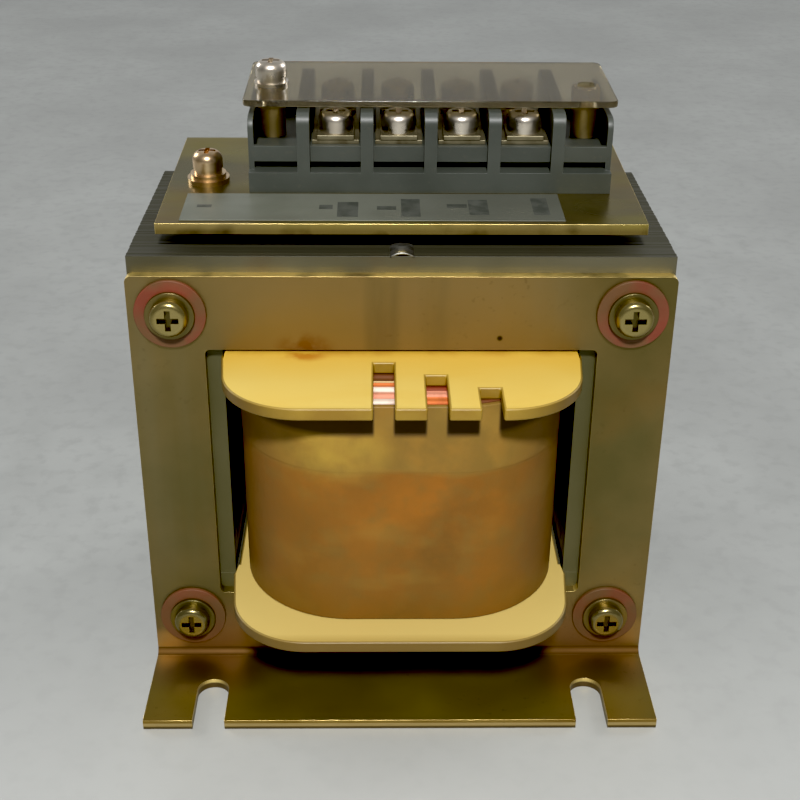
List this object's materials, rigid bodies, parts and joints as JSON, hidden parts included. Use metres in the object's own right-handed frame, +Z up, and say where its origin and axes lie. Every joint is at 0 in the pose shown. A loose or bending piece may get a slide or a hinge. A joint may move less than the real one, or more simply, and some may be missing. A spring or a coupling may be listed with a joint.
{
  "type": "transformer",
  "caption": "Open-frame control transformer: bolted EI core between footed steel brackets, paper-wrapped coil on a flanged bobbin, and a covered barrier terminal block on a shelf above.",
  "frame": {"origin": "centre of the core in plan, on the mounting plane under the feet", "axes": "+Z up, front with the label and the lead slots towards -Y, +X to the right as seen from the front"},
  "size_m": [0.0974, 0.0984, 0.1127],
  "materials": {
    "lamination_steel": "dark varnished edges of silicon-steel sheets",
    "weld": "bare weld bead, dull",
    "bobbin_ivory": "moulded, slightly glossy ivory yellow",
    "winding_copper": "enamelled copper wire",
    "insulation_paper": "varnished paper",
    "coil_paper": "varnished kraft paper, mottled",
    "zinc_yellow": "yellow-chromated zinc on steel sheet, satin, stained",
    "fibre_red": "red vulcanised fibre",
    "sleeve_tube": "insulating tube",
    "block_charcoal": "moulded charcoal phenolic, satin",
    "nickel": "nickel-plated, bright",
    "brass": "turned brass, slightly tarnished",
    "cover_smoke": "clear smoky sheet",
    "label_grey": "bare satin label plate with plain fields"
  },
  "bodies": {
    "root": {"e_laminations": "lamination_steel", "i_laminations": "lamination_steel", "weld_beads": "weld", "bobbin": "bobbin_ivory", "inner_winding": "winding_copper", "winding_insulation": "insulation_paper", "outer_winding": "winding_copper", "coil_wrap": "coil_paper", "front_bracket": "zinc_yellow", "rear_bracket": "zinc_yellow", "bolt_sleeves": "sleeve_tube", "clamp_bolts": "zinc_yellow", "front_fibre_washers": "fibre_red", "front_flat_washers": "zinc_yellow", "rear_fibre_washers": "fibre_red", "rear_flat_washers": "zinc_yellow", "rear_lock_washers": "zinc_yellow", "clamp_nuts": "zinc_yellow", "terminal_shelf": "zinc_yellow", "rating_label": "label_grey", "terminal_block": "block_charcoal", "terminal_bars": "nickel", "square_washers": "nickel", "terminal_lock_washers": "nickel", "terminal_screws": "nickel", "cover_posts": "brass", "post_nuts": "brass", "terminal_cover": "cover_smoke", "cover_washer": "nickel", "cover_lock_washer": "nickel", "cover_screw": "nickel", "earth_washer": "brass", "earth_clamp_washer": "brass", "earth_lock_washer": "brass", "earth_screw": "brass"}
  },
  "joints": []
}
